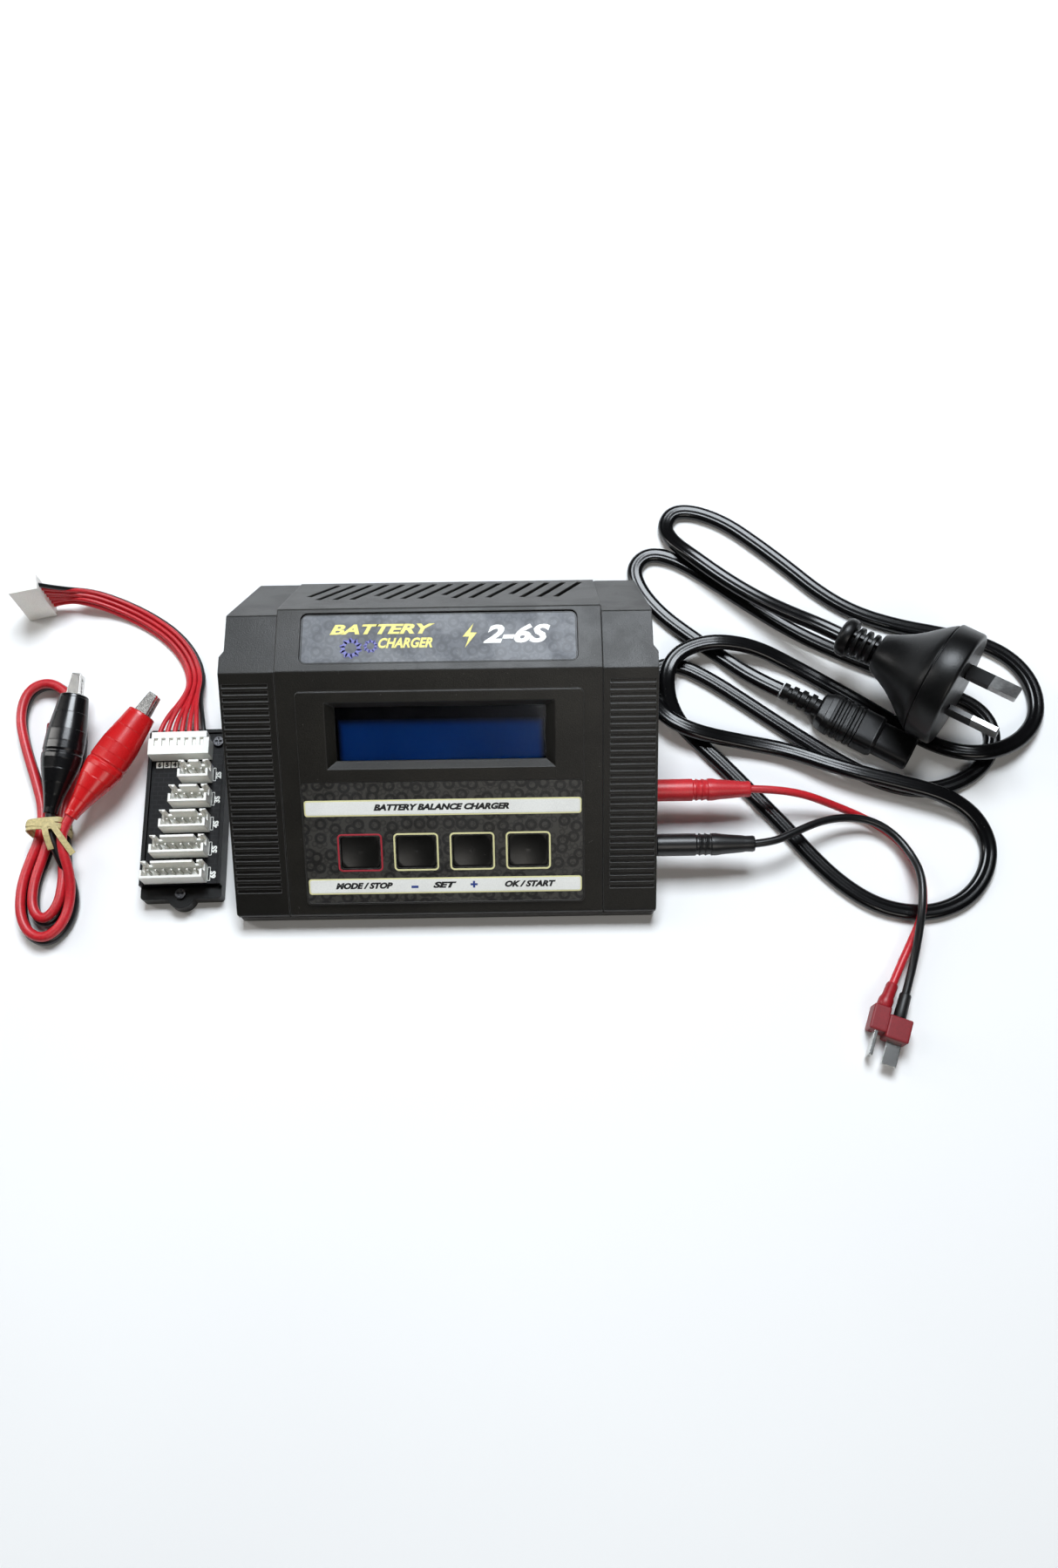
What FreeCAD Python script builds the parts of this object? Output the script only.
"""Balance battery charger with its mains lead, charge lead, balance adapter and crocodile-clip lead.

Millimetres, +Z up, -Y towards the user. The origin is the middle of the charger's footprint, on the
surface it stands on. The case is a prism: a low front lip, a long control slope, a narrow flat top and a
steep slotted back.
Three frames are used: the room, the control slope (X right, Y up the slope, Z out of it) and the back slope
(X right, Y down the slope, Z out of it).
"""

import FreeCAD, Part
import math
import os

import Sketcher
from FreeCAD import Placement, Rotation, Vector

# Driving dimensions, each a cell of the document's sheet.
SIZES = {
    # case outline, seen from the side
    "front_y": -56.6,
    "back_y": 56.6,
    "case_base_z": 1.0,
    "split_z": 5.2,
    "lip_z": 7.6,
    "ridge_y": 7.0,
    "top_z": 53.4,
    "top_back_y": 28.0,
    "back_wall_z": 17.0,
    "cap_top_z": 52.8,
    "cap_top_back_y": 26.3,
    "cap_back_y": 56.2,
    # case outline, seen from above
    "cover_half": 49.5,
    "cap_inner_x": 49.7,
    "cap_front_x": 66.5,
    "cap_waist_x": 65.1,
    "cap_rear_x": 63.4,
    "step_start_y": 12.5,
    "step_end_y": 14.5,
    "taper_start_y": 28.0,
    "wall": 2.2,
    "floor_thickness": 2.2,
    # control slope
    "panel_width": 87.4,
    "panel_length": 68.4,
    "panel_rise": 0.8,
    "panel_middle": 37.9,
    "overlay_width": 86.4,
    "overlay_length": 39.2,
    "sheet_thickness": 0.3,
    "window_width": 64.4,
    "window_length": 17.0,
    "bevel_width": 70.0,
    "bevel_length": 21.0,
    "bevel_depth": 2.4,
    "display_middle": 58.4,
    "key_width": 11.8,
    "key_length": 10.2,
    "key_pitch": 17.5,
    "key_middle": 20.9,
    "key_hole_width": 12.2,
    "key_hole_length": 10.6,
    # ribs on the side caps
    "rib_pitch": 2.125,
    "groove_width": 1.15,
    "groove_depth": 0.9,
    "groove_length": 13.9,
    # top label and vents
    "label_width": 84.4,
    "label_length": 17.0,
    "label_depth": 0.9,
    "vent_pitch": 5.4,
    "vent_width": 2.0,
    "vent_length": 28.0,
    # sockets in the side walls
    "charge_plug_z": 12.0,
    "red_plug_y": -18.0,
    "black_plug_y": -36.5,
    "plug_pin_radius": 2.0,
    "inlet_z": 14.0,
    # cooling fan
    "fan_side": 40.0,
    "fan_depth": 10.0,
    "fan_bore_radius": 18.8,
    "fan_tip_radius": 18.0,
    "fan_hub_radius": 9.0,
    "fan_pin_radius": 1.5,
    # cords
    "mains_cord_radius": 2.3,
    "charge_wire_radius": 1.3,
    "harness_radius": 3.3,
    "hank_radius": 3.2,
    # balance adapter
    "adapter_width": 26.0,
    "adapter_length": 57.4,
    "adapter_height": 8.2,
    "board_top_z": 7.5,
    "header_pitch": 8.5,
    "header_depth": 5.75,
    "header_height": 7.0,
    "contact_pitch": 2.5,
}

GROOVES = 32
VENTS = 16
FAN_BLADES = 7
HEADER_WAYS = (7, 6, 5, 4, 3)
ARC_SHARE = 0.45

document = FreeCAD.newDocument("balance_charger")
sheet = document.addObject("Spreadsheet::Sheet", "Sizes")
for row, (word, number) in enumerate(SIZES.items(), start=1):
    sheet.set(f"A{row}", word)
    sheet.set(f"B{row}", str(number))
    sheet.setAlias(f"B{row}", word)
document.recompute()

nodes = {}


# ---- helpers -------------------------------------------------------------------------------------


def value(size):
    """The number behind a cell's name, or the number itself."""
    return SIZES[size] if isinstance(size, str) else size


def bind(thing, prop, size):
    """Ties a property to a cell of the sheet, or sets a minor size as a number."""
    if isinstance(size, str):
        thing.setExpression(prop, f"Sizes.{size}")
    else:
        setattr(thing, prop, size)


def turned_about(axis, degrees, base=Vector()):
    return Placement(base, Rotation(axis, degrees))


ROOM = Placement()
X_AXIS = Vector(1, 0, 0)
Y_AXIS = Vector(0, 1, 0)
Z_AXIS = Vector(0, 0, 1)
SLOPE_DEGREES = math.degrees(
    math.atan2(value("top_z") - value("lip_z"), value("ridge_y") - value("front_y"))
)
BACK_DEGREES = math.degrees(
    math.atan2(value("top_z") - value("back_wall_z"), value("back_y") - value("top_back_y"))
)
SLOPE = turned_about(X_AXIS, SLOPE_DEGREES, Vector(0, value("front_y"), value("lip_z")))
BACK = turned_about(X_AXIS, -BACK_DEGREES, Vector(0, value("top_back_y"), value("top_z")))


def moved(frame, x, y, z):
    return frame.multiply(Placement(Vector(x, y, z), Rotation()))


def node(label, thing):
    """Names a finished sub-part, which is written to a file of its own."""
    thing.Label = label
    nodes[label] = thing
    return thing


def block(name, size, at, frame=ROOM):
    """A block centred on at across X and Y, and standing on it along Z."""
    solid = document.addObject("Part::Box", name)
    for prop, length in zip(("Length", "Width", "Height"), size):
        bind(solid, prop, length)
    solid.Placement = moved(frame, at[0] - value(size[0]) / 2, at[1] - value(size[1]) / 2, at[2])
    return solid


def rod(name, radius, length, at, frame=ROOM, towards=Z_AXIS):
    """A cylinder that starts at at and runs towards the given direction."""
    solid = document.addObject("Part::Cylinder", name)
    bind(solid, "Radius", radius)
    bind(solid, "Height", length)
    solid.Placement = frame.multiply(Placement(Vector(*at), Rotation(Z_AXIS, towards)))
    return solid


def cone(name, radius, end_radius, length, at, frame=ROOM, towards=Z_AXIS):
    solid = document.addObject("Part::Cone", name)
    bind(solid, "Radius1", radius)
    bind(solid, "Radius2", end_radius)
    bind(solid, "Height", length)
    solid.Placement = frame.multiply(Placement(Vector(*at), Rotation(Z_AXIS, towards)))
    return solid


def joined(name, *things):
    union = document.addObject("Part::MultiFuse", name)
    union.Shapes = list(things)
    return union


def group(name, things):
    """Identical pieces that share a node, kept as separate solids."""
    several = document.addObject("Part::Compound", name)
    several.Links = list(things)
    return several


def cut(name, base, *tools):
    remainder = document.addObject("Part::Cut", name)
    remainder.Base = base
    remainder.Tool = tools[0] if len(tools) == 1 else joined(f"{name}_tools", *tools)
    return remainder


def common(name, first, second):
    overlap = document.addObject("Part::Common", name)
    overlap.Base = first
    overlap.Tool = second
    return overlap


def eased(name, base, kind, radius, direction):
    """Rounds (Part::Fillet) or chamfers (Part::Chamfer) every straight edge along a direction."""
    document.recompute()
    soft = document.addObject(kind, name)
    soft.Base = base
    chosen = [
        (number, radius, radius)
        for number, edge in enumerate(base.Shape.Edges, start=1)
        if abs(edge.tangentAt(edge.FirstParameter).dot(direction)) > 0.999
    ]
    soft.Edges = chosen
    return soft


def plate(name, size, at, corner, frame=ROOM):
    """A block with its four upright edges rounded."""
    blank = block(f"{name}_blank", size, at, frame)
    return eased(name, blank, "Part::Fillet", corner, frame.Rotation.multVec(Z_AXIS))


def brick(name, size, at, corner, frame=ROOM):
    """A block with all of its edges rounded."""
    blank = block(f"{name}_blank", size, at, frame)
    document.recompute()
    soft = document.addObject("Part::Fillet", name)
    soft.Base = blank
    soft.Edges = [(number, corner, corner) for number in range(1, 13)]
    return soft


def sketch_on(body, role, outline, offset=0.0):
    """A closed outline on one of the body's origin planes, each corner tied to the sheet."""
    sketch = body.newObject("Sketcher::SketchObject", f"{body.Name}_outline")
    plane = next(f for f in body.Origin.OriginFeatures if f.Role == role)
    sketch.AttachmentSupport = [(plane, "")]
    sketch.MapMode = "FlatFace"
    sketch.AttachmentOffset = Placement(Vector(0, 0, offset), Rotation())
    corners = [Vector(value(a), value(b), 0) for a, b in outline]
    count = len(corners)
    for number, corner in enumerate(corners):
        sketch.addGeometry(Part.LineSegment(corner, corners[(number + 1) % count]), False)
    for number in range(count):
        sketch.addConstraint(Sketcher.Constraint("Coincident", number, 2, (number + 1) % count, 1))
    for number, corner in enumerate(outline):
        for kind, size in zip(("DistanceX", "DistanceY"), corner):
            place = sketch.addConstraint(Sketcher.Constraint(kind, -1, 1, number, 1, value(size)))
            if isinstance(size, str):
                sketch.setExpression(f"Constraints[{place}]", f"Sizes.{size}")
    return sketch


def prism(name, role, outline, start, length):
    """A padded outline: along +X from the YZ plane, along +Z from the XY plane."""
    body = document.addObject("PartDesign::Body", name)
    pad = body.newObject("PartDesign::Pad", f"{name}_pad")
    pad.Profile = sketch_on(body, role, outline, start)
    pad.Length = length
    body.Tip = pad
    return body


def turned(name, outline):
    """A solid of revolution about its own Z axis, from an outline of (radius, height) corners."""
    body = document.addObject("PartDesign::Body", name)
    sketch = sketch_on(body, "XZ_Plane", outline)
    spin = body.newObject("PartDesign::Revolution", f"{name}_revolution")
    spin.Profile = sketch
    spin.ReferenceAxis = (sketch, ["V_Axis"])
    spin.Angle = 360.0
    body.Tip = spin
    return body


def along(start, end):
    """A frame at start whose Z axis points to end and whose X axis stays level."""
    forward = (Vector(*end) - Vector(*start)).normalize()
    level = Vector(-forward.y, forward.x, 0)
    if level.Length < 1e-6:
        level = Vector(1, 0, 0)
    level.normalize()
    return Placement(Vector(*start), Rotation(level, forward.cross(level), forward, "ZXY"))


def inset(corners, depth):
    """A closed anticlockwise outline moved inwards by depth."""
    moved_corners = []
    count = len(corners)
    for number in range(count):
        here = Vector(*corners[number], 0)
        into = (here - Vector(*corners[number - 1], 0)).normalize()
        out = (Vector(*corners[(number + 1) % count], 0) - here).normalize()
        inward = Vector(-into.y, into.x, 0) + Vector(-out.y, out.x, 0)
        shift = inward * (depth / (1 + into.dot(out)))
        moved_corners.append(((here + shift).x, (here + shift).y))
    return moved_corners


def tube(label, points, radius):
    """A cord: straight runs joined by tangent arcs, each arc as large as its two runs allow."""
    stops = [Vector(*point) for point in points]
    edges = []
    radii = []
    start = stops[0]
    for before, corner, after in zip(stops, stops[1:], stops[2:]):
        into = corner - before
        out = after - corner
        half_turn = into.getAngle(out) / 2
        reach = ARC_SHARE * min(into.Length, out.Length)
        arc_radius = reach / math.tan(half_turn)
        first = corner - into.normalize() * reach
        last = corner + out.normalize() * reach
        centre = corner + ((first + last) * 0.5 - corner).normalize() * (arc_radius / math.cos(half_turn))
        middle = centre + (corner - centre).normalize() * arc_radius
        edges.append(Part.makeLine(start, first))
        edges.append(Part.Arc(first, middle, last).toShape())
        radii.append(arc_radius)
        start = last
    edges.append(Part.makeLine(start, stops[-1]))
    path = Part.Wire(edges)
    section = Part.Wire(Part.makeCircle(radius, stops[0], stops[1] - stops[0]))
    solid = path.makePipeShell([section], True, False)
    expected = math.pi * radius * radius * path.Length
    print(
        f"{label}: {path.Length:.0f} mm long, smallest arc {min(radii):.1f} mm,"
        f" volume {solid.Volume / expected:.3f} of section times length"
    )
    feature = document.addObject("Part::Feature", f"{label}_tube")
    feature.Shape = solid
    return feature


# ---- case ----------------------------------------------------------------------------------------

COVER_SIDE = [
    ("front_y", "split_z"),
    ("back_y", "split_z"),
    ("back_y", "back_wall_z"),
    ("top_back_y", "top_z"),
    ("ridge_y", "top_z"),
    ("front_y", "lip_z"),
]
CAP_SIDE = [
    ("front_y", "split_z"),
    ("cap_back_y", "split_z"),
    ("cap_back_y", "back_wall_z"),
    ("cap_top_back_y", "cap_top_z"),
    ("ridge_y", "cap_top_z"),
    ("front_y", "lip_z"),
]
SCREW_PLACES = [(-44.0, -44.0), (44.0, -44.0), (-44.0, 44.0), (44.0, 44.0)]
POST_PLACES = [(-36.0, -24.0), (36.0, -24.0), (-36.0, 46.0), (36.0, 46.0)]
FOOT_PLACES = [(-54.0, -47.0), (54.0, -47.0), (-54.0, 47.0), (54.0, 47.0)]


def hollow_side(outline):
    """The inside of a side outline, open below."""
    corners = inset([(value(a), value(b)) for a, b in outline], value("wall"))
    below = value("split_z") - 1.0
    return [(corners[0][0], below), (corners[1][0], below)] + corners[2:]


def cap_plan(sign, outset=0.0):
    """The plan outline of a side cap, anticlockwise for either hand."""
    right = [
        (value("cap_inner_x") if outset == 0 else value("cap_inner_x") - 1, value("front_y") - outset),
        (value("cap_front_x") + outset, value("front_y") - outset),
        (value("cap_front_x") + outset, value("step_start_y")),
        (value("cap_waist_x") + outset, value("step_end_y")),
        (value("cap_waist_x") + outset, value("taper_start_y")),
        (value("cap_rear_x") + outset, value("cap_back_y") + outset),
        (value("cap_inner_x") if outset == 0 else value("cap_inner_x") - 1, value("cap_back_y") + outset),
    ]
    return right if sign > 0 else [(-x, y) for x, y in reversed(right)]


def make_lower_case():
    """Shallow tray with posts for the main board, screw pillars and recesses for the feet."""
    front_x, waist_x = value("cap_front_x") - 0.2, value("cap_waist_x") - 0.2
    half = [(front_x, value("front_y")), (front_x, value("step_start_y"))]
    half += [(waist_x, value("step_end_y")), (waist_x, value("taper_start_y"))]
    half += [(value("cap_rear_x") - 0.2, value("cap_back_y"))]
    plan = half + [(-x, y) for x, y in reversed(half)]
    height = value("split_z") - value("case_base_z")
    tray = prism("tray_blank", "XY_Plane", plan, value("case_base_z"), height)
    tray_soft = eased("tray_soft", tray, "Part::Fillet", 1.2, Z_AXIS)
    floor_top = value("case_base_z") + value("floor_thickness")
    hollow = prism("tray_hollow", "XY_Plane", inset(plan, 2.4), floor_top, 20.0)
    floor_z = value("case_base_z") + value("floor_thickness") - 0.2
    solids = [cut("tray_open", tray_soft, hollow)]
    for number, (x, y) in enumerate(POST_PLACES):
        solids.append(rod(f"board_post_{number}", 3.0, 8.0 - floor_z, (x, y, floor_z)))
        solids.append(rod(f"board_pin_{number}", 1.2, 10.6 - floor_z, (x, y, floor_z)))
    for number, (x, y) in enumerate(SCREW_PLACES):
        solids.append(rod(f"screw_pillar_{number}", 3.4, 9.0 - floor_z, (x, y, floor_z)))
    holes = []
    for number, (x, y) in enumerate(SCREW_PLACES):
        holes.append(rod(f"screw_way_{number}", 1.6, 12.0, (x, y, 0.0)))
        holes.append(rod(f"head_way_{number}", 3.0, 2.6, (x, y, 0.0)))
    for number, (x, y) in enumerate(FOOT_PLACES):
        holes.append(rod(f"foot_recess_{number}", 5.1, 1.4, (x, y, 0.0)))
    return node("lower_case", cut("lower_case_body", joined("tray_built", *solids), *holes))


def make_upper_cover():
    """Middle of the case: lip, control slope, flat top, slotted back and rear wall; its sides are open."""
    half = value("cover_half")
    outer = prism("cover_blank", "YZ_Plane", COVER_SIDE, -half, 2 * half)
    outer = eased("cover_soft", outer, "Part::Fillet", 0.9, X_AXIS)
    inner = prism("cover_hollow", "YZ_Plane", hollow_side(COVER_SIDE), -half - 1, 2 * half + 2)
    shell = cut("cover_shell", outer, inner)
    panel = plate(
        "raised_panel",
        ("panel_width", "panel_length", value("panel_rise") + 1.0),
        (0, value("panel_middle"), -1.0),
        1.4,
        SLOPE,
    )
    pillars = [
        rod("front_pillar_left", 3.4, 7.0, (-44.0, -44.0, 9.0)),
        rod("front_pillar_right", 3.4, 7.0, (44.0, -44.0, 9.0)),
        rod("back_pillar_left", 3.4, 23.0, (-44.0, 44.0, 9.0)),
        rod("back_pillar_right", 3.4, 23.0, (44.0, 44.0, 9.0)),
    ]
    clipped = common("cover_pillars", joined("pillars_long", *pillars), outer)
    solid = joined("cover_built", shell, panel, clipped)
    tools = [display_bevel(), display_opening(), overlay_recess(), label_recess()]
    tools += key_openings() + vent_slots()
    for number, (x, y) in enumerate(SCREW_PLACES):
        depth = 4.6 if y < 0 else 9.0
        tools.append(rod(f"pillar_hole_{number}", 1.27, depth, (x, y, 8.9)))
    return node("upper_cover", cut("upper_cover_body", solid, *tools))


def display_bevel():
    """A shallow funnel round the display, wide at the panel's face."""
    bevel = document.addObject("Part::Wedge", "display_bevel")
    depth = value("bevel_depth")
    outer_x, outer_z = value("bevel_width") / 2, value("bevel_length") / 2
    inner_x, inner_z = value("window_width") / 2, value("window_length") / 2
    bevel.Xmin, bevel.Xmax, bevel.Zmin, bevel.Zmax = -inner_x, inner_x, -inner_z, inner_z
    bevel.X2min, bevel.X2max, bevel.Z2min, bevel.Z2max = -outer_x, outer_x, -outer_z, outer_z
    bevel.Ymin, bevel.Ymax = 0.0, depth
    face = value("panel_rise") + 0.001
    seat = moved(SLOPE, 0, value("display_middle"), face - depth)
    bevel.Placement = seat.multiply(turned_about(X_AXIS, 90))
    return bevel


def display_opening():
    size = ("window_width", "window_length", 6.0)
    return block("display_opening", size, (0, value("display_middle"), -4.0), SLOPE)


def overlay_recess():
    size = (value("overlay_width") + 0.2, value("overlay_length") + 0.2, 1.0)
    sheet_floor = value("panel_rise") - value("sheet_thickness")
    return plate("overlay_recess", size, (0, 24.0, sheet_floor), 1.2, SLOPE)


def label_recess():
    top = value("top_z") - value("label_depth")
    return plate("label_recess", ("label_width", "label_length", 3.0), (0, 18.0, top), 2.2)


def key_places():
    pitch = value("key_pitch")
    names = ("key_stop", "key_minus", "key_plus", "key_start")
    return {name: (number - 1.5) * pitch for number, name in enumerate(names)}


def key_openings():
    return [
        plate(f"{name}_opening", ("key_hole_width", "key_hole_length", 6.0), (x, value("key_middle"), -4.0), 1.0, SLOPE)
        for name, x in key_places().items()
    ]


def vent_slots():
    """Leaning slots down the back slope, every fourth one shorter."""
    slots = []
    for number in range(VENTS):
        x = (number - (VENTS - 1) / 2) * value("vent_pitch")
        short = 6.0 if number % 4 == 0 else 0.0
        length = value("vent_length") - short
        slot = block(f"vent_{number}", ("vent_width", length, 8.0), (0, short / 2, -5.0))
        lean = turned_about(Z_AXIS, -18, Vector(x, 28.5, 0))
        slot.Placement = BACK.multiply(lean).multiply(slot.Placement)
        slots.append(slot)
    return slots


def make_side_cap(label, sign):
    """End shell with a ribbed slope. The right one carries the output sockets, the left one the inlet."""
    side = "right" if sign > 0 else "left"
    start = value("cap_inner_x") if sign > 0 else -value("cap_front_x")
    width = value("cap_front_x") - value("cap_inner_x")
    profile = prism(f"{side}_profile", "YZ_Plane", CAP_SIDE, start, width)
    profile = eased(f"{side}_soft", profile, "Part::Fillet", 0.9, X_AXIS)
    plan = prism(f"{side}_plan", "XY_Plane", cap_plan(sign), 0.0, 60.0)
    plan = eased(f"{side}_plan_soft", plan, "Part::Fillet", 0.7, Z_AXIS)
    outer = common(f"{side}_outer", profile, plan)
    hollow_start = start - 1 if sign > 0 else start
    hollow = common(
        f"{side}_hollow",
        prism(f"{side}_inner_profile", "YZ_Plane", hollow_side(CAP_SIDE), hollow_start, width + 1),
        prism(f"{side}_inner_plan", "XY_Plane", cap_plan(sign, -value("wall")), 0.0, 60.0),
    )
    tools = [hollow] + grooves(side, sign)
    tools += output_openings() if sign > 0 else [inlet_opening()]
    return node(label, cut(f"{side}_cap_body", outer, *tools))


def grooves(side, sign):
    """The spaces between the ribs, up the slope."""
    middle = sign * (value("cap_front_x") - 0.8 - value("groove_length") / 2)
    first = 8.2
    return [
        block(
            f"{side}_groove_{number}",
            ("groove_length", "groove_width", 3.0),
            (middle, first + number * value("rib_pitch"), -value("groove_depth")),
            SLOPE,
        )
        for number in range(GROOVES)
    ]


def output_openings():
    z = value("charge_plug_z")
    return [
        rod("red_opening", 4.05, 12.0, (58.0, value("red_plug_y"), z), towards=X_AXIS),
        rod("black_opening", 4.05, 12.0, (58.0, value("black_plug_y"), z), towards=X_AXIS),
        block("balance_opening", (12.0, 20.3, 6.1), (64.0, 3.0, 12.0 - 3.05)),
    ]


def inlet_opening():
    return block("inlet_way", (12.0, 18.6, 12.6), (-64.0, -2.0, value("inlet_z") - 6.3))


# ---- display, keys and sheets on the control slope -----------------------------------------------


def make_display():
    middle = value("display_middle")
    under = -value("wall") - 0.05
    window = block("lcd_window_sheet", (68.4, 22.0, 1.0), (0, middle, under - 1.0), SLOPE)
    node("lcd_window", window)
    node("lcd_glass", plate("lcd_can", (71.2, 24.2, 5.0), (0, middle, under - 6.05), 0.6, SLOPE))
    board = block("lcd_board_blank", (80.0, 36.0, 1.6), (0, middle, under - 7.7), SLOPE)
    holes = [
        rod(f"lcd_hole_{number}", 1.25, 4.0, (x, middle + y, under - 9.0), SLOPE)
        for number, (x, y) in enumerate([(-37.5, -15.5), (37.5, -15.5), (-37.5, 15.5), (37.5, 15.5)])
    ]
    node("lcd_board", cut("lcd_board_body", board, *holes))


def make_sheets():
    face = value("panel_rise") - value("sheet_thickness")
    sheet_blank = plate(
        "overlay_blank", ("overlay_width", "overlay_length", "sheet_thickness"), (0, 24.0, face), 1.2, SLOPE
    )
    holes = [
        plate(f"{name}_gap", ("key_hole_width", "key_hole_length", 2.0), (x, value("key_middle"), -0.5), 1.0, SLOPE)
        for name, x in key_places().items()
    ]
    node("control_overlay", cut("overlay_sheet", sheet_blank, *holes))
    top = value("top_z") - value("label_depth")
    size = (value("label_width") - 0.4, value("label_length") - 0.4, "sheet_thickness")
    node("top_label", plate("label_sheet", size, (0, 18.0, top), 2.0))


def make_key(name, x):
    """A dished cap above a flange that stops it under the cover, and a stem that works the switch."""
    middle = value("key_middle")
    cap = plate(f"{name}_cap", ("key_width", "key_length", 2.4), (x, middle, -2.35), 0.9, SLOPE)
    flange = block(f"{name}_flange", (14.0, 12.2, 0.9), (x, middle, -3.2), SLOPE)
    stem = rod(f"{name}_stem", 2.0, 1.2, (x, middle, -4.2), SLOPE)
    dish = document.addObject("Part::Sphere", f"{name}_dish")
    dish.Radius = 34.0
    dish.Placement = moved(SLOPE, x, middle, 34.0 - 0.55)
    node(name, cut(f"{name}_body", joined(f"{name}_solid", cap, flange, stem), dish))


def make_key_board():
    """The board behind the keys, with a push switch soldered under each stem."""
    middle = value("key_middle")
    pieces = [block("key_board_blank", (78.0, 20.0, 1.6), (0, middle, -10.5), SLOPE)]
    for name, x in key_places().items():
        pieces.append(block(f"{name}_switch_base", (6.0, 6.0, 3.4), (x, middle, -9.0), SLOPE))
        pieces.append(rod(f"{name}_plunger", 1.7, 1.0, (x, middle, -5.8), SLOPE))
    node("key_board", joined("key_board_body", *pieces))


# ---- electronics ---------------------------------------------------------------------------------


def make_electronics():
    board = block("main_board_blank", (80.0, 78.0, 1.6), (0, 11.0, 8.0))
    holes = [rod(f"post_hole_{number}", 1.3, 4.0, (x, y, 7.0)) for number, (x, y) in enumerate(POST_PLACES)]
    node("main_board", cut("main_board_body", board, *holes))
    base = block("sink_base", (26.0, 32.0, 2.0), (-24.0, 6.0, 9.6))
    fins = [block(f"sink_fin_{n}", (1.2, 32.0, 13.0), (-36.4 + 4.13 * n, 6.0, 11.0)) for n in range(7)]
    node("heat_sink", joined("heat_sink_body", base, *fins))
    core = brick("transformer_core", (25.0, 22.0, 18.0), (26.0, 7.0, 12.0), 0.8)
    bobbin = block("transformer_bobbin", (21.0, 26.0, 15.0), (26.0, 7.0, 9.6))
    node("transformer", joined("transformer_body", core, bobbin))
    cans = [
        rod("mains_can", 8.0, 21.0, (0.0, 4.0, 9.6)),
        rod("output_can_left", 4.0, 12.0, (-14.0, -18.0, 9.6)),
        rod("output_can_right", 4.0, 12.0, (14.0, -18.0, 9.6)),
    ]
    node("capacitors", group("capacitor_set", cans))


def make_fan():
    """An axial fan that lies against the inside of the slotted back."""
    depth = value("fan_depth")
    seat = moved(BACK, 0, 23.0, -value("wall") - 0.4 - depth)
    ring = plate("fan_square", ("fan_side", "fan_side", "fan_depth"), (0, 0, 0), 2.5, seat)
    bore = rod("fan_bore", "fan_bore_radius", depth + 2, (0, 0, -1), seat)
    corner = value("fan_side") / 2 - 4.0
    screws = [
        rod(f"fan_hole_{n}", 1.7, depth + 2, (sx * corner, sy * corner, -1), seat)
        for n, (sx, sy) in enumerate([(-1, -1), (1, -1), (-1, 1), (1, 1)])
    ]
    frame_ring = cut("fan_ring", ring, bore, *screws)
    arms = [block(f"fan_arm_{n}", (2.6, 2 * value("fan_bore_radius") + 1, 1.4), (0, 0, 0)) for n in range(2)]
    for arm, degrees in zip(arms, (25, 115)):
        arm.Placement = seat.multiply(turned_about(Z_AXIS, degrees)).multiply(arm.Placement)
    hub = rod("fan_stator", "fan_hub_radius", 1.4, (0, 0, 0), seat)
    pin = rod("fan_pin", "fan_pin_radius", 7.0, (0, 0, 1.0), seat)
    node("fan_frame", joined("fan_frame_body", frame_ring, hub, pin, *arms))
    cup = rod("rotor_cup", "fan_hub_radius", 7.2, (0, 0, 1.8), seat)
    blades = []
    reach = value("fan_tip_radius")
    for number in range(FAN_BLADES):
        blade = block(f"rotor_blade_{number}", (reach - 7.0, 1.1, 6.6), (7.0 + (reach - 7.0) / 2, 0, 2.2))
        blade.Placement = turned_about(Z_AXIS, number * 360 / FAN_BLADES).multiply(blade.Placement)
        blades.append(blade)
    limit = rod("rotor_limit", "fan_tip_radius", 7.2, (0, 0, 1.8))
    trimmed = common("rotor_blades", joined("rotor_blades_long", *blades), limit)
    trimmed.Placement = seat
    hole = rod("rotor_hole", value("fan_pin_radius") + 0.05, 6.6, (0, 0, 1.7), seat)
    node("fan_rotor", cut("fan_rotor_body", joined("rotor_solid", cup, trimmed), hole))


def make_fixings():
    screws = []
    for number, (x, y) in enumerate(SCREW_PLACES):
        tip = 13.3 if y < 0 else 17.6
        head = rod(f"screw_head_{number}", 2.7, 1.5, (x, y, 1.05))
        shank = rod(f"screw_shank_{number}", 1.25, tip - 2.0, (x, y, 2.0))
        cross = block(f"screw_cross_{number}", (3.2, 0.7, 1.0), (x, y, 0.6))
        other = block(f"screw_cross_again_{number}", (0.7, 3.2, 1.0), (x, y, 0.6))
        screws.append(cut(f"case_screw_{number}", joined(f"screw_{number}", head, shank), cross, other))
    node("case_screws", group("case_screw_set", screws))
    feet = [cone(f"foot_{n}", 4.6, 5.0, 1.4, (x, y, 0)) for n, (x, y) in enumerate(FOOT_PLACES)]
    node("rubber_feet", group("foot_set", feet))


# ---- sockets -------------------------------------------------------------------------------------


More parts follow.
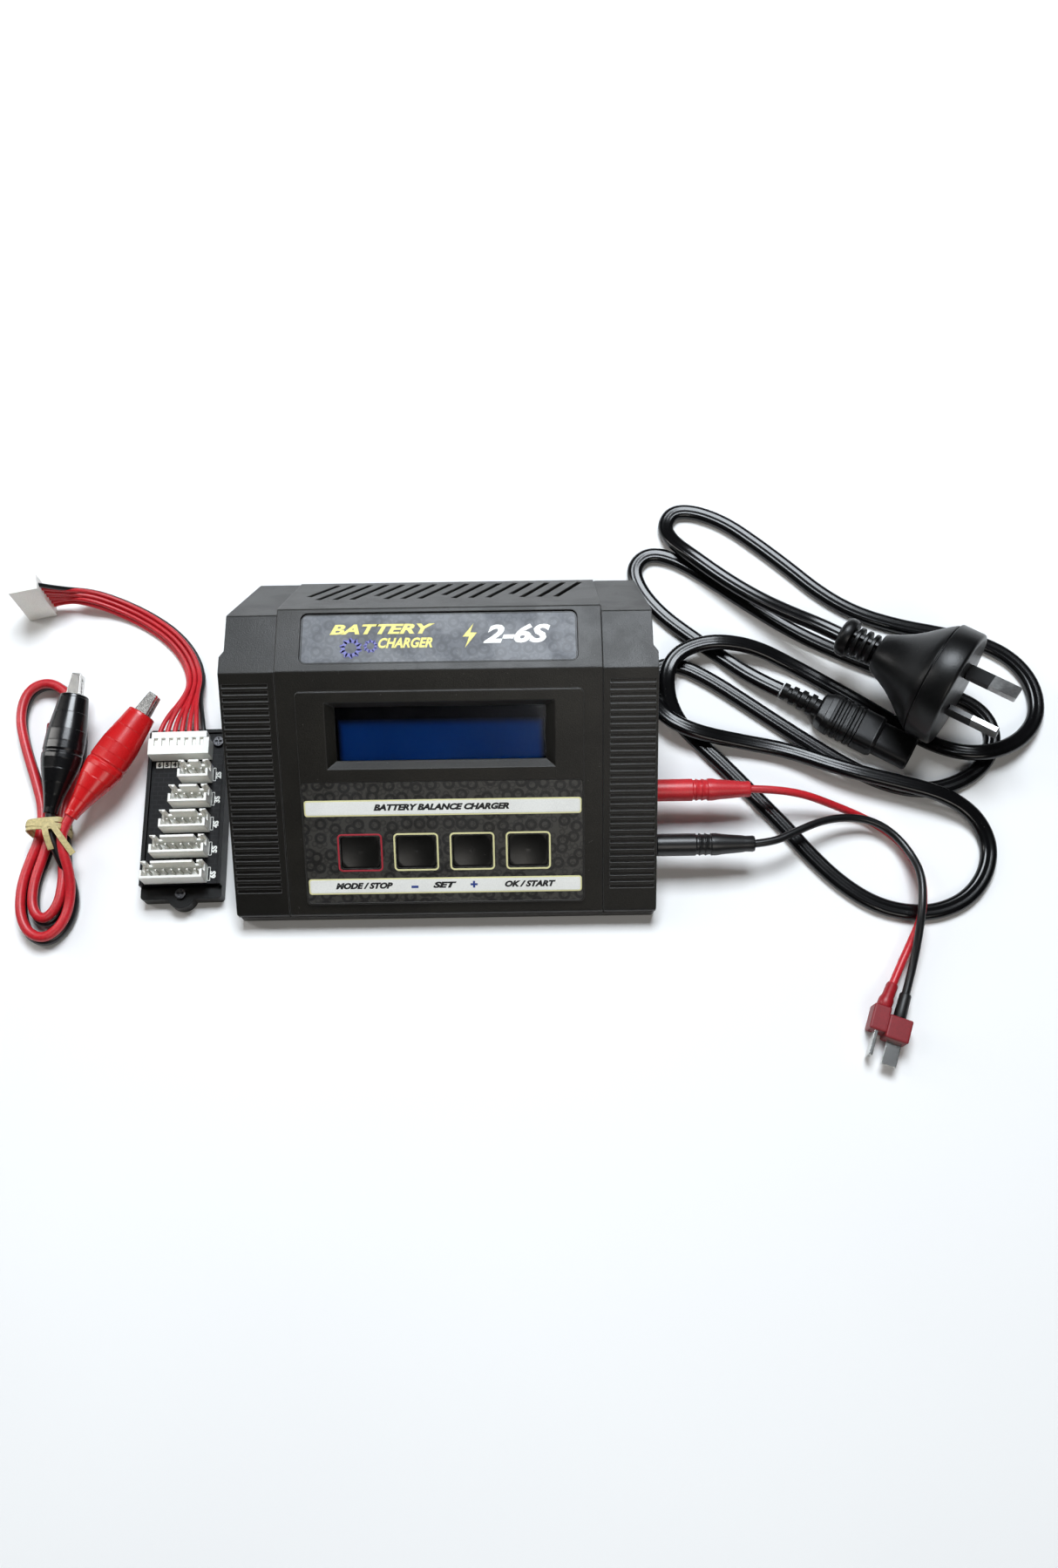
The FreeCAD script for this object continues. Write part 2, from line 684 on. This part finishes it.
def make_sockets():
    z = value("charge_plug_z")
    for colour in ("red", "black"):
        label, y = f"charge_socket_{colour}", value(f"{colour}_plug_y")
        barrel = rod(f"{label}_barrel", 4.0, 16.0, (50.4, y, z), towards=X_AXIS)
        collar = rod(f"{label}_collar", 5.4, 1.6, (62.4, y, z), towards=X_AXIS)
        bore = rod(f"{label}_bore", value("plug_pin_radius") + 0.03, 14.0, (53.4, y, z), towards=X_AXIS)
        node(label, cut(f"{label}_body", joined(f"{label}_solid", barrel, collar), bore))
    shell = block("balance_shell", (9.0, 19.9, 5.75), (61.9, 3.0, 12.0 - 2.875))
    cavity = block("balance_cavity", (9.0, 17.9, 4.15), (63.9, 3.0, 12.0 - 2.075))
    node("balance_socket", cut("balance_socket_body", shell, cavity))
    inlet_z = value("inlet_z")
    housing = plate("inlet_housing", (18.2, 12.2, 16.0), (0, 0, 0), 1.0)
    nose = plate("inlet_nose", (14.4, 8.6, 12.0), (0, 0, 5.0), 2.6)
    cup = cut("inlet_cup", housing, nose)
    pins = [rod(f"inlet_pin_{n}", 1.2, 11.0, (x, 0, 3.5)) for n, x in enumerate((-4.3, 4.3))]
    inlet = joined("inlet_body", cup, *pins)
    inlet.Placement = Placement(Vector(-50.4, -2.0, inlet_z), Rotation(Y_AXIS, Z_AXIS, Vector(-1, 0, 0), "ZXY"))
    node("mains_inlet", inlet)


# ---- charge lead ---------------------------------------------------------------------------------

BANANA_LENGTH = 31.6
BANANA_START_X = 66.9
RED_WIRE = [
    (98.6, -18.0, 12.0),
    (106.4, -18.2, 11.8),
    (116.6, -19.2, 9.4),
    (126.5, -21.6, 5.2),
    (134.5, -24.0, 2.2),
    (140.5, -27.0, 1.4),
    (146.4, -32.2, 1.4),
    (150.2, -39.0, 2.6),
    (151.6, -46.0, 5.6),
    (151.1, -53.5, 6.6),
    (149.9, -60.5, 6.2),
    (147.2, -67.5, 3.6),
    (142.6, -75.6, 3.6),
    (137.1, -86.0, 4.2),
]
BLACK_WIRE = [
    (98.6, -36.5, 12.0),
    (105.0, -36.0, 11.8),
    (113.6, -31.6, 10.4),
    (122.6, -27.6, 8.2),
    (131.8, -26.2, 6.2),
    (139.6, -27.4, 4.9),
    (146.0, -32.0, 4.4),
    (150.0, -38.8, 5.6),
    (151.6, -46.2, 8.6),
    (150.9, -53.9, 9.7),
    (149.7, -61.0, 9.2),
    (148.2, -69.0, 6.4),
    (145.6, -78.4, 4.4),
    (141.4, -89.6, 4.2),
]
T_PLUG_MIDDLE = Vector(137.5, -93.0, 0.3)
T_PLUG_TURN = -20.0


def make_charge_lead():
    z = value("charge_plug_z")
    pins = []
    for colour, wire in (("red", RED_WIRE), ("black", BLACK_WIRE)):
        y = value(f"{colour}_plug_y")
        outline = [
            (0, 0),
            (3.6, 0),
            (3.6, 12.6),
            (3.3, 13.0),
            (3.3, 13.8),
            (3.6, 14.2),
            (3.6, 17.4),
            (3.3, 17.8),
            (3.3, 18.6),
            (3.6, 19.0),
            (2.5, 28.0),
            (2.4, BANANA_LENGTH),
            (0, BANANA_LENGTH),
        ]
        boot = turned(f"{colour}_boot", outline)
        boot.Placement = Placement(Vector(BANANA_START_X, y, z), Rotation(Z_AXIS, X_AXIS))
        pin_way = rod(f"{colour}_pin_way", value("plug_pin_radius") + 0.02, 8.0, (60.0, y, z), towards=X_AXIS)
        node(f"charge_plug_{colour}", cut(f"{colour}_plug_body", boot, pin_way))
        pins.append(rod(f"{colour}_pin", "plug_pin_radius", 13.5, (54.2, y, z), towards=X_AXIS))
        exit_point = (BANANA_START_X + BANANA_LENGTH + 0.2, y, z)
        radius = value("charge_wire_radius")
        node(f"charge_wire_{colour}", tube(f"charge_wire_{colour}", [exit_point] + wire[1:], radius))
    node("charge_pins", group("pin_pair", pins))
    make_t_plug()


def make_t_plug():
    """Two-blade T plug: one blade flat, one upright, behind two heat-shrunk wire ends."""
    seat = Placement(T_PLUG_MIDDLE, Rotation(Z_AXIS, T_PLUG_TURN))
    left = brick("t_plug_left", (5.4, 8.2, 6.8), (-3.5, 0.3, 0), 0.6, seat)
    right = brick("t_plug_right", (7.4, 7.4, 7.6), (2.6, -1.5, 0), 0.6, seat)
    node("t_plug_body", joined("t_plug_solid", left, right))
    upright = block("t_blade_upright", (1.1, 8.6, 4.6), (-3.7, -7.4, 1.4), seat)
    flat = block("t_blade_flat", (4.6, 8.6, 1.0), (2.6, -8.6, 3.6), seat)
    blades = cut("t_blades", group("t_blade_pair", [upright, flat]), t_plug_copy(seat))
    node("t_plug_blades", blades)
    sleeves = []
    for colour, wire in (("red", RED_WIRE), ("black", BLACK_WIRE)):
        end, before = Vector(*wire[-1]), Vector(*wire[-2])
        back = (before - end).normalize()
        frame = along(end - back * 2.6, before)
        outer = rod(f"{colour}_sleeve_outer", 1.95, 8.6, (0, 0, 0), frame)
        inner = rod(f"{colour}_sleeve_inner", value("charge_wire_radius") + 0.03, 6.1, (0, 0, 2.58), frame)
        sleeves.append(cut(f"{colour}_sleeve", outer, inner))
    pair = group("sleeve_pair", sleeves)
    node("charge_lead_sleeves", cut("sleeve_pair_cut", pair, t_plug_copy(seat, "for_sleeves")))


def t_plug_copy(seat, use="for_blades"):
    """The plug body's own space, taken out of what meets it."""
    left = brick(f"{use}_left", (5.4, 8.2, 6.8), (-3.5, 0.3, 0), 0.6, seat)
    right = brick(f"{use}_right", (7.4, 7.4, 7.6), (2.6, -1.5, 0), 0.6, seat)
    return joined(f"{use}_space", left, right)


# ---- mains lead ----------------------------------------------------------------------------------

MAINS_CORD = [
    (131.5, 33.9, 18.3),
    (125.1, 38.5, 17.0),
    (116.6, 44.8, 13.4),
    (107.2, 52.2, 9.8),
    (96.0, 61.6, 7.6),
    (85.0, 71.4, 7.2),
    (79.0, 78.4, 4.6),
    (76.4, 85.6, 2.4),
    (79.8, 92.4, 2.4),
    (87.6, 92.6, 2.4),
    (98.4, 87.0, 2.4),
    (108.7, 78.4, 2.4),
    (119.3, 68.6, 2.4),
    (129.7, 58.2, 2.4),
    (141.2, 50.2, 2.4),
    (155.5, 44.9, 2.4),
    (170.5, 41.6, 2.4),
    (184.0, 38.0, 2.4),
    (194.4, 31.6, 2.4),
    (200.4, 22.0, 2.4),
    (200.4, 10.8, 2.4),
    (193.0, 1.6, 4.6),
    (182.4, -4.2, 7.4),
    (171.8, -4.8, 7.2),
    (162.6, -0.6, 4.4),
    (153.8, 6.2, 2.4),
    (142.4, 14.4, 2.4),
    (129.8, 22.8, 2.4),
    (117.4, 30.6, 2.8),
    (105.6, 36.0, 5.6),
    (94.4, 37.6, 7.6),
    (85.4, 36.8, 7.6),
    (77.6, 33.0, 7.6),
    (73.9, 26.2, 7.4),
    (74.4, 17.6, 4.6),
    (78.0, 9.6, 2.4),
    (84.4, 2.2, 2.4),
    (92.2, -6.0, 2.4),
    (101.7, -17.2, 2.4),
    (110.6, -27.6, 2.4),
    (118.0, -37.4, 2.4),
    (127.0, -47.2, 2.4),
    (137.4, -54.6, 2.4),
    (148.6, -57.6, 2.4),
    (158.8, -57.0, 2.4),
    (168.4, -52.6, 2.4),
    (175.2, -44.2, 2.4),
    (177.4, -34.0, 2.4),
    (172.6, -24.4, 4.4),
    (162.0, -18.6, 7.4),
    (148.2, -14.6, 7.6),
    (130.0, -9.4, 7.4),
    (114.0, -1.6, 4.2),
    (98.0, 1.8, 4.4),
    (84.0, 3.9, 7.4),
    (74.6, 8.4, 7.6),
    (69.6, 15.2, 5.6),
    (68.6, 23.6, 3.0),
    (71.6, 31.0, 2.4),
    (79.4, 31.2, 2.4),
    (89.0, 25.8, 2.4),
    (99.0, 18.4, 2.4),
    (109.4, 10.4, 2.4),
    (120.4, 2.2, 2.4),
    (133.6, -7.2, 2.4),
    (147.0, -14.2, 2.4),
    (159.6, -16.2, 2.4),
    (171.4, -12.8, 2.4),
    (180.2, -6.0, 2.4),
    (184.2, 3.4, 2.4),
    (180.8, 12.8, 2.4),
    (171.0, 18.6, 2.4),
    (153.9, 26.2, 2.4),
    (136.0, 34.2, 2.4),
    (120.4, 42.6, 2.4),
    (105.8, 53.2, 2.4),
    (91.6, 64.4, 2.4),
    (80.4, 72.4, 2.4),
    (70.6, 75.2, 2.4),
    (64.6, 69.4, 2.4),
    (66.6, 60.6, 2.4),
    (73.6, 50.8, 2.4),
    (83.4, 42.2, 2.4),
    (94.4, 33.6, 2.4),
    (103.8, 25.2, 4.4),
    (112.7, 19.9, 5.2),
]
PLUG_START = Vector(131.5, 33.9, 18.3)
PLUG_PLAN_DEGREES = -35.5
PLUG_RISE_DEGREES = 9.5
PLUG_ROLL_DEGREES = 39.0
PLUG_OUTLINE = [
    (0, 0.15),
    (5.0, 0.15),
    (6.4, 0.9),
    (6.6, 2.4),
    (6.4, 4.0),
    (5.2, 4.8),
    (5.2, 12.6),
    (7.0, 14.6),
    (9.2, 19.0),
    (12.6, 24.4),
    (16.4, 29.0),
    (18.6, 32.4),
    (19.5, 33.4),
    (19.5, 41.4),
    (18.9, 42.0),
    (0, 42.0),
]
CONNECTOR_START = (112.7, 19.9, 5.2)
CONNECTOR_END = (154.6, -4.6, 5.2)


def make_mains_lead():
    node("mains_cord", tube("mains_cord", MAINS_CORD, value("mains_cord_radius")))
    rise = math.radians(PLUG_RISE_DEGREES)
    plan = math.radians(PLUG_PLAN_DEGREES)
    forward = Vector(math.cos(plan) * math.cos(rise), math.sin(plan) * math.cos(rise), math.sin(rise))
    frame = along(tuple(PLUG_START), tuple(PLUG_START + forward))
    body = turned("plug_bell", PLUG_OUTLINE)
    body.Placement = frame
    face = PLUG_OUTLINE[-1][1]
    blades = []
    for number, (side, degrees) in enumerate(((-1, 60.0), (1, -60.0))):
        blade = eased(
            f"plug_blade_{number}_soft",
            block(f"plug_blade_{number}", (6.35, 1.6, 17.1), (0, 0, face)),
            "Part::Chamfer",
            0.4,
            Y_AXIS,
        )
        offset = Placement(Vector(side * 6.85, 0, 0), Rotation())
        spot = turned_about(Z_AXIS, PLUG_ROLL_DEGREES, Vector()).multiply(offset)
        blade.Placement = frame.multiply(spot).multiply(turned_about(Z_AXIS, degrees))
        blades.append(blade)
    node("mains_plug_body", body)
    node("mains_plug_blades", group("plug_blade_pair", blades))
    make_appliance_connector()


def make_appliance_connector():
    """Small two-hole connector with a ribbed strain relief, lying flat."""
    seat = along(CONNECTOR_START, CONNECTOR_END)
    relief = cone("connector_relief", 2.9, 3.8, 15.0, (0, 0, 0.3), seat)
    body = brick("connector_body", (13.4, 9.6, 22.0), (0, 0, 14.0), 1.6, seat)
    nose = plate("connector_nose", (11.8, 7.2, 14.0), (0, 0, 34.0), 2.2, seat)
    holes = [rod(f"connector_hole_{n}", 1.3, 12.0, (x, 0, 37.0), seat) for n, x in enumerate((-4.3, 4.3))]
    node("appliance_connector", cut("connector_solid", joined("connector_built", relief, body, nose), *holes))


# ---- balance adapter -----------------------------------------------------------------------------

ADAPTER = turned_about(Z_AXIS, 0.8, Vector(-77.0, -45.4, 0))
HARNESS_CORD = [
    (-88.6, 13.4, 10.2),
    (-87.0, 20.6, 7.4),
    (-86.8, 28.6, 4.2),
    (-90.2, 37.4, 3.4),
    (-97.0, 45.6, 3.4),
    (-107.0, 52.6, 3.4),
    (-117.0, 57.2, 4.6),
    (-125.4, 59.2, 7.4),
    (-132.6, 59.2, 9.6),
]
HARNESS_PLUG_PLACE = (-143.6, 56.6)
INLET_HEADER_PLACE = (-10.35, 45.0)


def header_width(ways):
    return value("contact_pitch") * (ways - 1) + 4.9


def make_adapter():
    width, length, height = value("adapter_width"), value("adapter_length"), value("adapter_height")
    middle_x, front, board_front = -8.6, -4.6, -0.5
    post_x, post_y = 1.4, 48.3
    tray = plate("adapter_blank", (width, length, height), (middle_x, front + length / 2, 0), 1.2, ADAPTER)
    tab = rod("adapter_tab", 4.6, 5.2, (middle_x, front + 1.6, 0), ADAPTER)
    back = front + length - 1.2
    seat_size = (width - 2.4, back - board_front, height)
    board_seat = block("adapter_hollow", seat_size, (middle_x, (board_front + back) / 2, 2.0), ADAPTER)
    shelf_size = (width + 2.0, 12.0, height)
    shelf_cut = block("adapter_shelf_cut", shelf_size, (middle_x, board_front - 6.0, 5.2), ADAPTER)
    screw_way = rod("adapter_screw_way", 1.15, 12.0, (middle_x, front + 1.6, 1.5), ADAPTER)
    corner_way = rod("adapter_post_way", 1.1, 8.0, (post_x, post_y, 1.0), ADAPTER)
    post = rod("adapter_post", 2.2, 5.6, (post_x - 0.6, post_y, 0.2), ADAPTER)
    open_tray = cut("adapter_open", joined("adapter_outer", tray, tab), board_seat, shelf_cut)
    built = joined("adapter_tray_built", open_tray, post)
    node("adapter_tray", cut("adapter_tray_body", built, screw_way, corner_way))
    top = value("board_top_z")
    board_size = (width - 2.8, back - board_front - 0.4, 1.6)
    board = block("adapter_board_blank", board_size, (middle_x, (board_front + back) / 2, top - 1.6), ADAPTER)
    hole = rod("adapter_board_hole", 1.3, 6.0, (post_x, post_y, top - 4.0), ADAPTER)
    node("adapter_board", cut("adapter_board_body", board, hole))
    pins = []
    for number, ways in enumerate(HEADER_WAYS):
        y = number * value("header_pitch") + value("header_depth") / 2
        x = -header_width(ways) / 2
        make_header(f"header_{ways - 1}s", ways, x, y, top)
        for way in range(ways):
            pin_x = x + (way - (ways - 1) / 2) * value("contact_pitch")
            pins.append(block(f"pin_{number}_{way}", (0.64, 0.64, 5.2), (pin_x, y, top + 1.0), ADAPTER))
    node("header_pins", group("header_pin_set", pins))
    make_inlet_header(top)
    screws = []
    for number, (x, y, z) in enumerate([(middle_x, front + 1.6, 5.2), (post_x, post_y, top)]):
        head = rod(f"adapter_screw_head_{number}", 1.7, 1.1, (x, y, z + 0.02), ADAPTER)
        shank = rod(f"adapter_screw_shank_{number}", 1.05, 4.0, (x, y, z - 3.6), ADAPTER)
        cross = block(f"adapter_screw_cross_{number}", (2.4, 0.5, 1.0), (x, y, z + 0.6), ADAPTER)
        other = block(f"adapter_screw_cross_again_{number}", (0.5, 2.4, 1.0), (x, y, z + 0.6), ADAPTER)
        solid = joined(f"adapter_screw_solid_{number}", head, shank)
        screws.append(cut(f"adapter_screw_{number}", solid, cross, other))
    node("adapter_screws", group("adapter_screw_set", screws))


def make_header(label, ways, x, y, top):
    """An upright shrouded header: 0.8 mm walls, a closed floor and two keying slots in the rear wall."""
    width = header_width(ways)
    shell = block(f"{label}_shell", (width, "header_depth", "header_height"), (x, y, top + 0.02), ADAPTER)
    cavity_size = (width - 1.6, value("header_depth") - 1.6, 7.0)
    cavity = block(f"{label}_cavity", cavity_size, (x, y, top + 1.0), ADAPTER)
    keys = [
        block(f"{label}_slot_{n}", (1.4, 2.0, 7.0), (x + away, y + 2.6, top + 2.6), ADAPTER)
        for n, away in enumerate((2.6 - width / 2, width / 2 - 2.6))
    ]
    gaps = [
        block(f"{label}_gap_{n}", (2.0, 2.6, 7.0), (x + side * width / 2, y + 1.2, top + 3.4), ADAPTER)
        for n, side in enumerate((-1, 1))
    ]
    node(label, cut(f"{label}_body", shell, cavity, *keys, *gaps))


def make_inlet_header(top):
    """A side-entry header that faces the rear edge, with the harness plug pushed home in it."""
    width = header_width(7)
    x, y = INLET_HEADER_PLACE
    contact_x = [x + (way - 3) * value("contact_pitch") for way in range(7)]
    shell = block("inlet_header_shell", (width, 5.6, 6.2), (x, y, top + 0.02), ADAPTER)
    cavity = block("inlet_header_cavity", (width - 1.6, 5.6, 4.2), (x, y + 1.4, top + 1.0), ADAPTER)
    windows = [
        block(f"inlet_window_{way}", (1.2, 3.0, 3.0), (at_x, y + 1.6, top + 4.6), ADAPTER)
        for way, at_x in enumerate(contact_x)
    ]
    node("inlet_header", cut("inlet_header_body", shell, cavity, *windows))
    plug = block("harness_plug_blank", (width - 1.8, 6.4, 4.0), (x, y + 1.9, top + 1.1), ADAPTER)
    collar = block("harness_plug_collar", (width - 1.8, 2.2, 4.9), (x, y + 4.0, top + 1.1), ADAPTER)
    ways = [
        rod(f"harness_way_{way}", 0.85, 3.0, (at_x, y + 3.2, top + 3.1), ADAPTER, Y_AXIS)
        for way, at_x in enumerate(contact_x)
    ]
    node("harness_plug", cut("harness_plug_body", joined("harness_plug_built", plug, collar), *ways))


def make_harness():
    """The outer shape of the seven wires: a fan at each end and one round bundle between them."""
    bundle = tube("harness_bundle", HARNESS_CORD, value("harness_radius"))
    start = ADAPTER.multVec(Vector(INLET_HEADER_PLACE[0], INLET_HEADER_PLACE[1] + 5.2, 10.6))
    near = fan_solid("near_fan", start, Vector(*HARNESS_CORD[0]), (16.6, 1.9), (5.4, 5.4))
    x, y = HARNESS_PLUG_PLACE
    plug_seat = along((x + 4.9, y + 1.0, 10.2), (x - 5.0, y - 1.0, 10.2))
    end = Vector(*HARNESS_CORD[-1])
    far = fan_solid("far_fan", Vector(x + 4.9, y + 1.0, 10.2), end, (1.9, 16.6), (5.2, 5.2))
    node("harness_bundle", joined("harness_bundle_body", bundle, near, far))
    end = block("end_plug_blank", (5.75, 19.6, 9.6), (0, 0, 0.2), plug_seat)
    slots = [rod(f"end_plug_way_{n}", 0.5, 4.0, (0, (n - 3) * 2.5, 6.5), plug_seat) for n in range(7)]
    node("harness_end_plug", cut("end_plug_body", end, *slots))


def fan_solid(name, start, end, wide, narrow):
    """A solid that narrows from a row of wires to the round bundle."""
    frame = along(tuple(start), tuple(end))
    length = (end - start).Length + 0.6
    wedge = document.addObject("Part::Wedge", name)
    wedge.Xmin, wedge.Xmax = -wide[0] / 2, wide[0] / 2
    wedge.Zmin, wedge.Zmax = -wide[1] / 2, wide[1] / 2
    wedge.X2min, wedge.X2max = -narrow[0] / 2, narrow[0] / 2
    wedge.Z2min, wedge.Z2max = -narrow[1] / 2, narrow[1] / 2
    wedge.Ymin, wedge.Ymax = 1.0, length
    wedge.Placement = frame.multiply(turned_about(X_AXIS, 90))
    return wedge


# ---- crocodile-clip lead -------------------------------------------------------------------------

LOWER_LOOP = [
    (-127.2, -29.8, 3.4),
    (-123.0, -38.0, 3.4),
    (-120.8, -49.0, 3.4),
    (-123.6, -58.0, 3.4),
    (-130.6, -61.0, 3.4),
    (-136.6, -55.6, 3.4),
    (-137.6, -44.6, 3.4),
    (-135.6, -37.4, 3.4),
    (-132.6, -29.8, 3.4),
]
UPPER_LOOP = [
    (-133.2, -19.4, 3.4),
    (-137.6, -8.6, 3.4),
    (-142.2, 3.6, 3.4),
    (-145.2, 15.0, 3.4),
    (-143.0, 24.6, 3.4),
    (-135.0, 27.0, 3.4),
    (-127.6, 20.6, 3.4),
    (-124.2, 9.6, 3.4),
    (-124.4, -4.4, 3.4),
    (-126.4, -19.4, 3.4),
]
WAIST_MIDDLE = (-129.9, -24.5)
BAND_MIDDLE = (-129.9, -26.4)
SOCKET_MIDDLE = (-131.8, 4.0)
CLIP_LENGTH = 40.5
CLIP_PITCH = 4.0
JAW_ROOT = 38.9
JAW_TIP = 48.0
JAW_HEIGHT = 1.9
CLIPS = {
    "black": (Vector(-128.6, -22.4, 10.6), -6.5),
    "red": (Vector(-122.0, -23.4, 10.6), -31.5),
}
CLIP_SECTIONS = [(0, 2.4, 2.4), (6, 3.4, 3.2), (19, 6.7, 5.4), (27, 6.6, 5.3), (CLIP_LENGTH, 4.8, 4.3)]


def make_clip_lead():
    """The hank of both wires, the rubber band round its waist, the socket at its end and the two clips."""
    lower = tube("lower_loop", LOWER_LOOP, value("hank_radius"))
    upper = tube("upper_loop", UPPER_LOOP, value("hank_radius"))
    waist = block("hank_waist", (11.2, 13.0, 6.0), (*WAIST_MIDDLE, 0.5))
    socket_x, socket_y = SOCKET_MIDDLE
    tail_end = socket_y - 7.9
    tail = block("hank_tail", (3.2, 15.0, 5.0), (socket_x, tail_end - 7.5, 0.8))
    node("clip_lead_hank", joined("hank_body", lower, upper, waist, tail))
    ring = plate("band_outer", (13.8, 4.8, 13.8), (*BAND_MIDDLE, 0.05), 0.4)
    space = block("band_space", (11.8, 8.0, 12.2), (*BAND_MIDDLE, 0.3))
    opening = cut("band_ring", ring, space)
    band_tail = block("band_tail", (2.2, 7.0, 0.9), (-126.4, -30.4, 12.8))
    node("rubber_band", joined("band_body", opening, band_tail))
    make_clip_lead_socket(socket_x, socket_y)
    for colour, (start, degrees) in CLIPS.items():
        make_clip(colour, start, degrees)


def make_clip_lead_socket(x, y):
    """The T socket at the other end of the clip lead: one flat and one upright slot in its far face."""
    body = brick("lead_socket_blank", (7.0, 15.5, 5.6), (x, y, 0.3), 0.6)
    upright = block("lead_socket_upright", (1.3, 9.0, 4.0), (x - 1.9, y + 4.0, 1.1))
    flat = block("lead_socket_flat", (3.0, 9.0, 1.3), (x + 1.4, y + 4.0, 2.5))
    node("clip_lead_socket", cut("lead_socket_body", body, upright, flat))


def make_clip(colour, start, degrees):
    """A soft boot over two toothed jaws; the upper jaw turns on a pin just inside the boot's mouth."""
    frame = Placement(start, Rotation(Z_AXIS, degrees)).multiply(turned_about(X_AXIS, CLIP_PITCH))
    boot = clip_boot(f"{colour}_boot_outer", frame, 0.0)
    hollow = clip_boot(f"{colour}_boot_inner", frame, 0.75)
    way = rod(f"{colour}_wire_way", 1.65, 12.0, (0, -1.0, 0), frame, Y_AXIS)
    node(f"clip_boot_{colour}", cut(f"{colour}_boot_body", boot, hollow, way))
    node(f"clip_lower_jaw_{colour}", jaw(f"{colour}_lower", frame, -1))
    node(f"clip_upper_jaw_{colour}", jaw(f"{colour}_upper", frame, 1))


def clip_boot(name, frame, inset_by):
    """The boot's outside, or its inside when inset, as a loft through rounded sections."""
    wires = []
    for along_y, half_width, half_height in CLIP_SECTIONS:
        beyond = {0: 1.6, CLIP_LENGTH: 0.6}.get(along_y, 0) if inset_by else 0
        ellipse = Part.Ellipse(Vector(), half_width - inset_by, half_height - inset_by).toShape()
        wire = Part.Wire(ellipse)
        wire.Placement = Placement(Vector(0, along_y + beyond, 0), Rotation(X_AXIS, -90))
        wires.append(wire)
    solid = Part.makeLoft(wires, True)
    feature = document.addObject("Part::Feature", name)
    feature.Shape = solid
    feature.Placement = frame
    return feature


def jaw(name, frame, side):
    """A tapered channel of sheet metal with teeth where it meets the other jaw."""
    root = JAW_ROOT if side > 0 else JAW_ROOT - 6.0
    outline = [(-2.2, root), (2.2, root), (2.2, 40.5), (1.4, JAW_TIP), (-1.4, JAW_TIP), (-2.2, 40.5)]
    base = 0.25 if side > 0 else -0.25 - JAW_HEIGHT
    blank = prism(f"{name}_blank", "XY_Plane", outline, base, JAW_HEIGHT)
    trough_z = base - 0.1 if side > 0 else base + JAW_HEIGHT - 1.3
    trough = block(f"{name}_trough", (3.0, 20.0, 1.4), (0, 35.0, trough_z))
    tooth_z = -0.1 if side > 0 else -0.6
    teeth = [block(f"{name}_tooth_{n}", (8.0, 0.7, 0.7), (0, 40.9 + 1.3 * n, tooth_z)) for n in range(5)]
    sheet_jaw = cut(f"{name}_sheet", blank, trough, *teeth)
    sheet_jaw.Placement = frame
    return sheet_jaw


# ---- the whole set -------------------------------------------------------------------------------

make_lower_case()
make_upper_cover()
make_side_cap("left_side_cap", -1)
make_side_cap("right_side_cap", 1)
make_display()
make_sheets()
for key_name, key_x in key_places().items():
    make_key(key_name, key_x)
make_key_board()
make_electronics()
make_fan()
make_fixings()
make_sockets()
make_charge_lead()
make_mains_lead()
make_adapter()
make_harness()
make_clip_lead()
document.recompute()

failed = [thing.Name for thing in document.Objects if {"Invalid", "Error"} & set(thing.State)]
if failed:
    raise SystemExit(f"these objects failed: {failed}")
os.makedirs("parts", exist_ok=True)
for label, thing in nodes.items():
    shape = thing.Shape
    if shape.isNull() or not shape.isValid() or not shape.Solids:
        raise SystemExit(f"{label} has no valid shape")
    shape.exportStep(f"parts/{label}.step")
print(f"{len(nodes)} sub-parts written")
